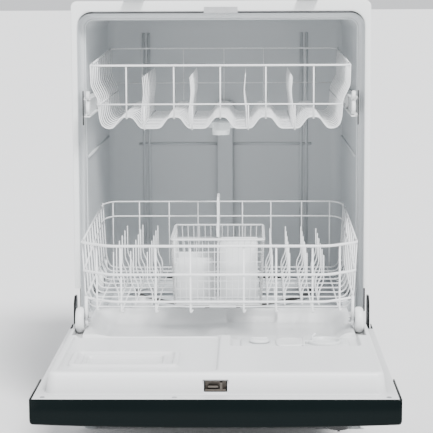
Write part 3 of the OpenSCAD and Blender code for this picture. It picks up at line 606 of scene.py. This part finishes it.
def scalloped(y, share):
    """One floor wire: down the kinked left side, over the humps and up the right side."""
    rim = UP_TOP + (UP_TOP_BACK - UP_TOP) * share
    side = [(UP_HALF, rim), (UP_HALF - 0.001, 0.702), (UP_HALF - 0.0145, 0.675), (UP_HALF - 0.0165, 0.64),
            (UP_HALF - 0.021, UP_FLOOR + 0.006), (UP_HALF - 0.03, UP_FLOOR)]
    path = [(-x, y, z) for x, z in side]
    for hump in HUMPS:
        path += [(hump + dx, y, UP_FLOOR + dz) for dx, dz in ((-0.027, 0), (-0.011, HUMP_RISE),
                                                              (0.011, HUMP_RISE), (0.027, 0))]
    return soften(path + [(x, y, z) for x, z in reversed(side)], 0.007, 4)


def make_upper_floor():
    """The scalloped wires, closer together at the front, on a straight wire under each hump."""
    wires, count = Mesh(), 13
    for i in range(count):
        share = (i / (count - 1)) ** 1.1
        sweep(wires, scalloped(UP_Y0 + 0.0035 + (UP_Y1 - UP_Y0 - 0.007) * share, share), UP_THIN, 6)
    z = UP_FLOOR + HUMP_RISE - 2 * UP_THIN
    for x in HUMPS:
        sweep(wires, [(x, UP_Y0 + 0.002, z), (x, UP_Y1 - 0.002, z)], UP_THIN, 6)
    place(wires.make("upper_rack_floor_wires", WIRE), "upper_rack", "coated_wire", "upper_rack_floor")


def make_upper_front():
    """The front wall: a bowed rim, a middle wire and uprights down to the humps and dips."""
    wires = Mesh()
    end = [(UP_HALF - 0.001, UP_Y0 + 0.03, UP_TOP + 0.003), (UP_HALF - 0.001, UP_Y0 + 0.008, UP_TOP),
           (UP_HALF - 0.014, UP_Y0, UP_TOP)]
    sweep(wires, soften([(-x, y, z) for x, y, z in end] + end[::-1], 0.012, 4), UP_RIM, 8)
    sweep(wires, [(-UP_HALF + 0.012, UP_Y0, UP_MID), (UP_HALF - 0.016, UP_Y0, UP_MID)], UP_ROD, 8)
    y = UP_Y0 + 0.0012
    for x in HUMPS:
        sweep(wires, [(x, y, UP_TOP), (x, y, UP_FLOOR + HUMP_RISE - 0.004)], UP_ROD, 8)
    for x in DIPS:
        sweep(wires, [(x, y, UP_MID), (x, y, UP_FLOOR - 0.0035)], UP_THIN, 8)
    place(wires.make("upper_rack_front_wires", WIRE), "upper_rack", "coated_wire", "upper_rack_front")


def make_upper_back():
    """The back wall: a rim with bent ends, one wire below it and five uprights."""
    wires = Mesh()
    rim = soften([(-UP_HALF, UP_Y1 - 0.03, UP_TOP_BACK - 0.001), (-UP_HALF + 0.012, UP_Y1, UP_TOP_BACK),
                  (UP_HALF - 0.012, UP_Y1, UP_TOP_BACK), (UP_HALF, UP_Y1 - 0.03, UP_TOP_BACK - 0.001)],
                 0.014, 4)
    sweep(wires, rim, UP_ROD, 8)
    low = UP_TOP_BACK - 0.076
    sweep(wires, [(-UP_HALF + 0.01, UP_Y1, low), (UP_HALF - 0.01, UP_Y1, low)], UP_THIN, 8)
    for x in HUMPS:
        sweep(wires, [(x, UP_Y1, UP_TOP_BACK), (x, UP_Y1, UP_FLOOR + HUMP_RISE - 0.004)], UP_THIN, 8)
    place(wires.make("upper_rack_back_wires", WIRE), "upper_rack", "coated_wire", "upper_rack_back")


def make_upper_sides():
    """Two long wires on each side, at the rim and half way down."""
    for side, node in ((-1, "upper_rack_left"), (1, "upper_rack_right")):
        wires = Mesh()
        x = side * UP_HALF
        sweep(wires, [(x, UP_Y0 + 0.006, UP_TOP), (x, UP_Y1 - 0.01, UP_TOP_BACK)], 0.0019, 8)
        x = side * (UP_HALF - 0.0165)
        sweep(wires, [(x, UP_Y0 + 0.004, UP_MID), (x, UP_Y1, UP_MID)], UP_THIN, 8)
        place(wires.make(node + "_wires", WIRE), "upper_rack", "coated_wire", node)


def make_upper_tines():
    """Four rows of nine leaning tines, each row on its own wire."""
    wires = Mesh()
    foot = UP_FLOOR + 2 * UP_THIN
    for x in (-0.152, -0.06, 0.049, 0.14):
        lean = 0.004 if x < 0 else -0.004
        sweep(wires, [(x, UP_Y0 + 0.012, foot), (x, UP_Y1 - 0.016, foot)], UP_THIN, 6)
        for i in range(9):
            y = UP_Y0 + 0.02 + i * (UP_Y1 - UP_Y0 - 0.07) / 8
            tine = soften([(x, y, UP_FLOOR - 0.001), (x - lean * 0.5, y, UP_FLOOR + 0.03),
                           (x + lean, y, UP_FLOOR + 0.065), (x + lean * 0.2, y + 0.003, UP_FLOOR + 0.098)],
                          0.02, 4)
            sweep(wires, tine, UP_THIN, 6, taper=(UP_THIN, UP_THIN * 0.85))
    place(wires.make("upper_rack_tine_rows", WIRE), "upper_rack", "coated_wire", "upper_rack_tines")


def make_rail_ends():
    """A slim black stop and two white rollers at the front of each upper rail."""
    lo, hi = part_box("rail_end_caps")
    y, z = lo.y, (lo.z + hi.z) / 2
    stops, rollers = Mesh(), Mesh()
    r = 0.0035                                    # half the stop's width
    for side in (-1, 1):
        xs = sorted((side * (hi.x - 0.0036), side * (hi.x - 0.0014)))
        outline = []
        for end, start in ((1, 0), (-1, 180)):
            for a in [math.radians(start + 22.5 * k) for k in range(9)]:
                outline.append((y + 0.0005 + r * math.cos(a), z + end * 0.03 + r * math.sin(a)))
        skin(stops, [[Vector((x, py, pz)) for py, pz in outline] for x in xs],
             cap_first=True, cap_last=True)
        inner = hi.x - 0.0148
        for rise, radius, depth in ((0.0, 0.015, 0.0145), (0.024, 0.0085, 0.008)):
            profile = [(0, radius * 0.6), (0, radius - 0.0015), (0.0015, radius), (0.0065, radius),
                       (0.008, radius - 0.0015), (0.008, radius * 0.6)]
            spin(rollers, [(side * (inner + a), b) for a, b in profile], (0, y + depth, z + rise), "X", 32)
    place(stops.make("rail_stops", DARK, bevel=0.0004), "upper_rails", "black_plastic")
    place(rollers.make("rail_end_rollers", WHITE, bevel=0.0003), "upper_rails", "moulded_white",
          "rail_end_caps")


# ---- lower rack: wire radii, the planes of its wires, and how its front corners sweep back

LOW_THIN, LOW_ROD, LOW_THICK = 0.0014, 0.0019, 0.0026
LOW_Y0, LOW_Y1 = LOW_LO.y + 0.0026, LOW_BACK.y - 0.0022
LOW_FLOOR, LOW_TOP, LOW_TOP_BACK = LOW_LO.z + 0.002, LOW_HI.z - 0.0015, LOW_BACK.z - 0.0005
LOW_HALF, RIM_HALF = LOW_SIDE - 0.002, LOW_SIDE + 0.0045       # the walls lean out towards the rim
LEVELS = (LOW_TOP, LOW_FLOOR + 0.067, LOW_FLOOR + 0.017)
COLUMNS = (-0.178, -0.115, -0.052, 0.045, 0.104, 0.17, -0.224, 0.22)
CORNER_X, CORNER_Y = 0.052, 0.041


def low_width(z):
    """Half width of the lower rack at a height."""
    return LOW_HALF + (RIM_HALF - LOW_HALF) * max(0.0, (z - LOW_FLOOR) / (LOW_TOP - LOW_FLOOR))


def make_lower_front():
    """Three wires across, whose corners sweep back to the sides, and hooked uprights."""
    wires = Mesh()
    for z, r in zip(LEVELS, (LOW_THICK, LOW_THICK, 0.0023)):
        w = low_width(z)
        end = [(w, LOW_Y0 + CORNER_Y + 0.02, z + 0.0015), (w, LOW_Y0 + CORNER_Y, z + 0.001),
               (w - CORNER_X, LOW_Y0, z)]
        sweep(wires, soften([(-x, y, h) for x, y, h in end] + end[::-1], 0.016, 6), r, 8)
    for x in COLUMNS:
        y = LOW_Y0 + 0.002 + max(0.0, abs(x) - (RIM_HALF - CORNER_X)) * CORNER_Y / CORNER_X
        hook = soften([(x, y, LOW_TOP), (x, y, LEVELS[2] - 0.012), (x, y + 0.001, LOW_FLOOR - 0.004),
                       (x + 0.004, y + 0.01, LOW_FLOOR)], 0.006)
        sweep(wires, hook, LOW_ROD, 8)
    place(wires.make("lower_rack_front_wires", WIRE), "lower_rack", "coated_wire", "lower_rack_front")


def make_lower_back():
    """Two wires across with bent ends, and eight uprights."""
    wires = Mesh()
    for z in (LOW_TOP_BACK, LOW_TOP_BACK - 0.031):
        w = low_width(z)
        end = [(w, LOW_Y1 - 0.05, z - 0.004), (w - 0.004, LOW_Y1 - 0.02, z - 0.002), (w - 0.02, LOW_Y1, z)]
        sweep(wires, soften([(-x, y, h) for x, y, h in end] + end[::-1], 0.016, 5), LOW_THIN * 1.15, 8)
    for x in (-0.233, -0.177, -0.114, -0.053, 0.041, 0.101, 0.166, 0.225):
        sweep(wires, [(x, LOW_Y1 - 0.002, LOW_TOP_BACK), (x, LOW_Y1 - 0.002, LOW_FLOOR)], LOW_THIN, 8)
    place(wires.make("lower_rack_back_wires", WIRE), "lower_rack", "coated_wire", "lower_rack_back")


def make_lower_floor():
    """Ten wires that run down one side, across the floor and up the other, on eight long ones."""
    wires, count = Mesh(), 10
    for i in range(count):
        y = LOW_Y0 + 0.045 + i * (LOW_Y1 - LOW_Y0 - 0.06) / (count - 1)
        rim = LOW_TOP + (LOW_TOP_BACK - LOW_TOP) * i / (count - 1) - 0.001
        side = [(low_width(rim), rim), (low_width(LOW_FLOOR + 0.02), LOW_FLOOR + 0.02),
                (LOW_HALF - 0.008, LOW_FLOOR)]
        path = [(-x, y, z) for x, z in side] + [(x, y, z) for x, z in reversed(side)]
        sweep(wires, soften(path, 0.014, 5), LOW_THIN, 6)
    z = LOW_FLOOR - LOW_THIN
    for x in COLUMNS:
        start = LOW_Y0 + 0.012 + max(0.0, abs(x) - 0.2) * CORNER_Y / CORNER_X
        sweep(wires, [(x, start, z), (x, LOW_Y1, z)], LOW_THIN, 6)
    place(wires.make("lower_rack_floor_wires", WIRE), "lower_rack", "coated_wire", "lower_rack_floor")


def make_lower_sides():
    """Three long wires on each side, and the plates and bosses that carry the axles."""
    for side, node in ((-1, "lower_rack_left"), (1, "lower_rack_right")):
        wires = Mesh()
        backs = (LOW_TOP_BACK - 0.004, LOW_TOP_BACK - 0.035, LOW_FLOOR + 0.03)
        for z0, z1 in zip(LEVELS, backs):
            sweep(wires, [(side * low_width(z0 + 0.001), LOW_Y0 + CORNER_Y, z0 + 0.001),
                          (side * low_width(z1), LOW_Y1 - 0.05, z1)], LOW_ROD, 8)
        x0, x1 = sorted((side * (LOW_HALF - 0.0035), side * (LOW_HALF + 0.0015)))
        for end in ("front", "rear"):
            lo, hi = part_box(end + "_axle_pins")
            y, z = (lo.y + hi.y) / 2, (lo.z + hi.z) / 2
            spin(wires, [(x0, 0.0096), (x0 + 0.0004, 0.0105), (x1 - 0.0004, 0.0105), (x1, 0.0096)],
                 (0, y, z), "X", 28)
            bar(wires, (x0, y - 0.0105, z), (x1, y + 0.0105, LOW_FLOOR + 0.022))
        place(wires.make(node + "_wires", WIRE), "lower_rack", "coated_wire", node)


def make_lower_tines():
    """Seven rows of six kinked tines, each row on its own wire: X of the tips, and height."""
    wires = Mesh()
    foot_z = LOW_FLOOR + 2 * LOW_THIN
    for x, height in ((-0.197, 0.098), (-0.165, 0.1), (-0.134, 0.098), (0.098, 0.092), (0.13, 0.096),
                      (0.162, 0.096), (0.193, 0.092)):
        foot = x + 0.009 if x < 0 else x - 0.009      # the upper half stands further from the middle
        sweep(wires, [(foot, LOW_Y0 + 0.05, foot_z), (foot, LOW_Y1 - 0.05, foot_z)], LOW_THIN, 6)
        for i in range(6):
            y = LOW_Y0 + 0.068 + i * (LOW_Y1 - LOW_Y0 - 0.15) / 5
            tine = soften([(foot, y, LOW_FLOOR + 0.002), (foot, y, LOW_FLOOR + 0.024),
                           (x, y, LOW_FLOOR + 0.042), (x, y + 0.002, LOW_FLOOR + height)], 0.008, 4)
            sweep(wires, tine, LOW_THIN, 6, taper=(LOW_THIN, LOW_THIN * 0.8))
    place(wires.make("lower_rack_tine_rows", WIRE), "lower_rack", "coated_wire", "lower_rack_tines")


def make_wheels():
    """Barrel-shaped rollers, with an open web and a turned hub."""
    for node in ("wheel_front_left", "wheel_front_right", "wheel_rear_left", "wheel_rear_right"):
        lo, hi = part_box(node)
        centre = (lo + hi) / 2
        rad, half = (hi.z - lo.z) / 2, (hi.x - lo.x) / 2
        out = 1 if centre.x > 0 else -1
        inner, outer = -half - 0.002, half + 0.003
        wheel = Mesh()
        rim = [(inner + 0.001, 0.0042), (inner + 0.001, 0.0092), (inner + 0.004, 0.0098),
               (inner + 0.0045, rad - 0.009), (inner + 0.0005, rad - 0.0075), (inner, rad - 0.006),
               (inner + 0.0006, rad - 0.0036), (inner + 0.0026, rad - 0.0012), (inner + 0.006, rad - 0.0001),
               (outer - 0.006, rad - 0.0001), (outer - 0.0026, rad - 0.0012), (outer - 0.0006, rad - 0.0036),
               (outer, rad - 0.006), (outer - 0.0005, rad - 0.0075), (outer - 0.0055, rad - 0.009),
               (outer - 0.006, 0.0105), (half - 0.0002, 0.0095), (half, 0.0042)]
        spin(wheel, [(out * a, b) for a, b in rim], centre, "X", 48)
        for k in range(6):
            a = TAU * k / 6
            spoke = Vector((0, math.cos(a), math.sin(a)))
            start, end = centre + spoke * 0.009, centre + spoke * (rad - 0.008)
            offset = Vector((out * (outer - 0.0052), 0, 0))
            sweep(wheel, [start + offset, end + offset], 0.0013, 6)
        place(wheel.make(node + "_turned", WHITE, bevel=0.0003), node, "moulded_white", node)


def make_basket():
    """The basket's drafted lattice and rim."""
    x0, x1, y0, y1 = BASKET_LO.x, BASKET_HI.x, BASKET_LO.y, BASKET_HI.y
    z0, z1 = BASKET_LO.z + 0.0004, BASKET_HI.z
    draft, t, edge = 0.005, 0.0008, 0.012         # narrowing at the floor, bar radius, and corner share
    levels = (0.0, 0.11, 0.24, 0.36, 0.5, 0.65, 0.8, 1.0)
    lattice = Mesh()

    def at(u, v, share):
        """A point of the drafted box: u and v run from 0 to 1 along x and y, share from floor to rim."""
        d = draft * (1 - share)
        return Vector((x0 + d + (x1 - x0 - 2 * d) * u, y0 + d + (y1 - y0 - 2 * d) * v,
                       z0 + (z1 - z0) * share))

    def wall(p, q, count):
        """One side of the lattice from p to q, with thicker corner posts, foot and top."""
        for i in range(count + 1):
            part = i / count
            u, v = p[0] + (q[0] - p[0]) * part, p[1] + (q[1] - p[1]) * part
            sweep(lattice, [at(u, v, 0), at(u, v, 1)], t * (3 if i in (0, count) else 1), 4)
        for share in levels:
            sweep(lattice, [at(*p, share), at(*q, share)], t * (2.2 if share in (0.0, 1.0) else 1), 4)

    a, b = edge, 1 - edge
    wall((a, a), (b, a), 15)
    wall((a, b), (b, b), 15)
    wall((a, a), (a, b), 16)
    wall((b, a), (b, b), 16)
    for i in range(13):
        sweep(lattice, [at(i / 12, a, 0), at(i / 12, b, 0)], t, 4)
    for i in range(15):
        sweep(lattice, [at(a, i / 14, 0), at(b, i / 14, 0)], t, 4)
    rim = soften([at(0, 0, 1), at(1, 0, 1), at(1, 1, 1), at(0, 1, 1)], 0.007, 4, closed=True)
    sweep(lattice, [p - Vector((0, 0, 0.0014)) for p in rim], 0.0016, 6, closed=True)
    place(lattice.make("basket_lattice", BASKET, smooth=False), "basket", "basket_plastic",
          "silverware_basket")


def make_basket_walls():
    """Thin walls between the basket's cells: one along the handle, and two across each half."""
    walls = Mesh()
    x0, x1, y0, y1, top = BASKET_LO.x, BASKET_HI.x, BASKET_LO.y, BASKET_HI.y, BASKET_HI.z
    mid_x, floor = (x0 + x1) / 2, BASKET_LO.z + 0.0014
    bar(walls, (mid_x - 0.001, y0 + 0.004, floor), (mid_x + 0.001, y1 - 0.004, top - 0.003))
    for share in (1 / 3, 2 / 3):
        y = y0 + (y1 - y0) * share
        bar(walls, (x0 + 0.008, y - 0.0008, floor), (mid_x - 0.006, y + 0.0008, top - 0.045))
        bar(walls, (mid_x + 0.004, y - 0.0008, floor), (x1 - 0.012, y + 0.0008, top - 0.016))
    place(walls.make("basket_cell_walls", BASKET, bevel=0.0006), "basket", "basket_plastic")


# ---- dispensers in the door's lining

def make_dispenser_plate():
    """The top plate with its open cup, lever and post, and the housing below it."""
    lo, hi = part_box("dispenser_body")
    deck, mid = hi.z, (lo + hi) / 2
    plate = Mesh()
    outline = soften([(lo.x, lo.y, 0), (hi.x, lo.y, 0), (hi.x, hi.y, 0), (lo.x, hi.y, 0)], 0.016, 6,
                     closed=True)
    skin(plate, [[Vector((p.x + (mid.x - p.x) * shrink, p.y + (mid.y - p.y) * shrink, z)) for p in outline]
                 for z, shrink in ((deck - 0.0026, 0), (deck - 0.0008, 0), (deck, 0.012))],
         cap_first=True, cap_last=True)
    cup = on_door(188, 350, 0)
    spin(plate, [(deck - 0.001, 0.031), (deck + 0.004, 0.0305), (deck + 0.0052, 0.0295),
                 (deck + 0.0052, 0.0275), (deck + 0.004, 0.0265), (deck - 0.0002, 0.0255)],
         (cup.x, cup.y, 0), "Z", 48)
    lever = on_door(168, 352, 0)
    sweep(plate, [(lever.x, lever.y, deck), (lever.x - 0.001, lever.y + 0.004, deck + 0.011),
                  (lever.x + 0.005, lever.y + 0.006, deck + 0.0155)], 0.0024, 8)
    post = on_door(160, 352, 0)
    spin(plate, [(deck - 0.001, 0.009), (deck + 0.004, 0.0085), (deck + 0.005, 0.0075)],
         (post.x, post.y, 0), "Z", 28)
    place(plate.make("dispenser_plate", PALE, bevel=0.0006), "door", "dispenser_plastic", "dispenser_body")
    housing = Mesh()
    a, b = on_door(49, 389, 30), on_door(223, 313, 0)
    bar(housing, a, (b.x, b.y, deck - 0.002))
    place(housing.make("dispenser_housing", PALE, bevel=0.001), "door", "dispenser_plastic")


def make_detergent_lid():
    """A crowned lid with soft corners, and the roll it hinges on along its right edge."""
    lo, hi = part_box("detergent_lid")
    hinge_r = 0.0024
    cx, cy = (lo.x + hi.x - hinge_r) / 2, (lo.y + hi.y) / 2
    half_x, half_y = (hi.x - hinge_r - lo.x) / 2, (hi.y - lo.y) / 2
    loops = []
    for share, rise in ((1.0, 0), (1.0, 0.0016), (0.95, 0.0026), (0.72, 0.0030), (0.6, 0.0020),
                        (0.3, 0.0016)):
        loop = []
        for k in range(48):
            c, s = math.cos(TAU * k / 48), math.sin(TAU * k / 48)
            bulge = share * (abs(c) ** 4 + abs(s) ** 4) ** -0.25
            loop.append(Vector((cx + half_x * c * bulge, cy + half_y * s * bulge, lo.z + rise)))
        loops.append(loop)
    lid = Mesh()
    skin(lid, loops, cap_first=True, cap_last=True)
    x, z = hi.x - 0.0023, hi.z - 0.0023
    sweep(lid, [(x, lo.y + 0.003, z), (x, hi.y - 0.003, z)], 0.0021, 12)
    place(lid.make("detergent_cup_lid", WHITE, bevel=0.0004), "detergent_lid", "moulded_white",
          "detergent_lid")


def make_rinse_cap():
    """A turned cap with a finger bar across it, on its stem."""
    lo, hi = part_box("rinse_cap")
    centre = (lo + hi) / 2
    axis, base = (centre.x, centre.y, 0), lo.z + 0.0103
    cap = Mesh()
    spin(cap, [(base, 0.0172), (base + 0.0012, 0.018), (base + 0.003, 0.018), (base + 0.0046, 0.0168),
               (base + 0.0056, 0.013), (base + 0.006, 0.008)], axis, "Z", 48)
    spin(cap, [(lo.z, 0.0044), (base + 0.001, 0.0046)], axis, "Z", 24)
    z = base + 0.0062
    sweep(cap, [(centre.x - 0.0135, centre.y, z), (centre.x + 0.0135, centre.y, z)], 0.0022, 10)
    place(cap.make("rinse_aid_cap", PALE, bevel=0.0003), "rinse_cap", "dispenser_plastic", "rinse_cap")


# ---- stage, light and camera

def make_floor():
    """A pale studio floor that reaches to the horizon."""
    floor, reach = Mesh(), 120
    floor.add([(-reach, -reach, 0), (reach, -reach, 0), (reach, reach, 0), (-reach, reach, 0)],
              [(0, 1, 2, 3)])
    finish = material("studio_floor", (0.93, 0.93, 0.93), 0.85, 0.01, 1, 60, 0.0001)
    floor.make("studio_floor", finish)


def aim(name, data, position, target):
    """Puts a light in the scene, shining at its target."""
    light = bpy.data.objects.new(name, data)
    light.location = position
    light.rotation_euler = (Vector(target) - Vector(position)).to_track_quat("-Z", "Y").to_euler()
    bpy.context.scene.collection.objects.link(light)


def make_lights():
    """A broad soft light from the front right, over the camera, a weak fill and a pale surrounding."""
    key = bpy.data.lights.new("key", "SUN")
    key.energy, key.angle = 5.4, math.radians(16)
    aim("key", key, (1.3, -2.9, 3.9), (0, 0, 0.4))
    fill = bpy.data.lights.new("fill", "AREA")
    fill.size, fill.energy = 1.6, 14
    aim("fill", fill, (-1.6, -3.6, 1.2), (0, 0, 0.45))
    world = bpy.data.worlds.new("studio")
    world.use_nodes = True
    backdrop = world.node_tree.nodes["Background"]
    backdrop.inputs["Color"].default_value = (0.96, 0.975, 1.0, 1)
    backdrop.inputs["Strength"].default_value = 1.05
    bpy.context.scene.world = world


def make_camera():
    """A long lens 3.25 m in front of the frame, level with its top and looking slightly down."""
    lens = bpy.data.cameras.new("camera")
    lens.sensor_width, lens.lens = 36, 136.7
    cam = bpy.data.objects.new("camera", lens)
    cam.location = (0.0544, FRONT - 3.25, 0.8686)
    cam.rotation_euler = (math.radians(90 - 7.561), math.radians(0.24), math.radians(1.102))
    bpy.context.scene.collection.objects.link(cam)
    bpy.context.scene.camera = cam


for make in (make_tub_shell, make_tub_outside, make_front_frame, make_mouldings, make_gasket, make_lining,
             make_latch_pocket, make_console, make_upper_floor, make_upper_front, make_upper_back,
             make_upper_sides, make_upper_tines, make_rail_ends, make_lower_front, make_lower_back,
             make_lower_floor, make_lower_sides, make_lower_tines, make_wheels, make_basket,
             make_basket_walls, make_dispenser_plate, make_detergent_lid, make_rinse_cap, make_floor,
             make_lights, make_camera):
    make()
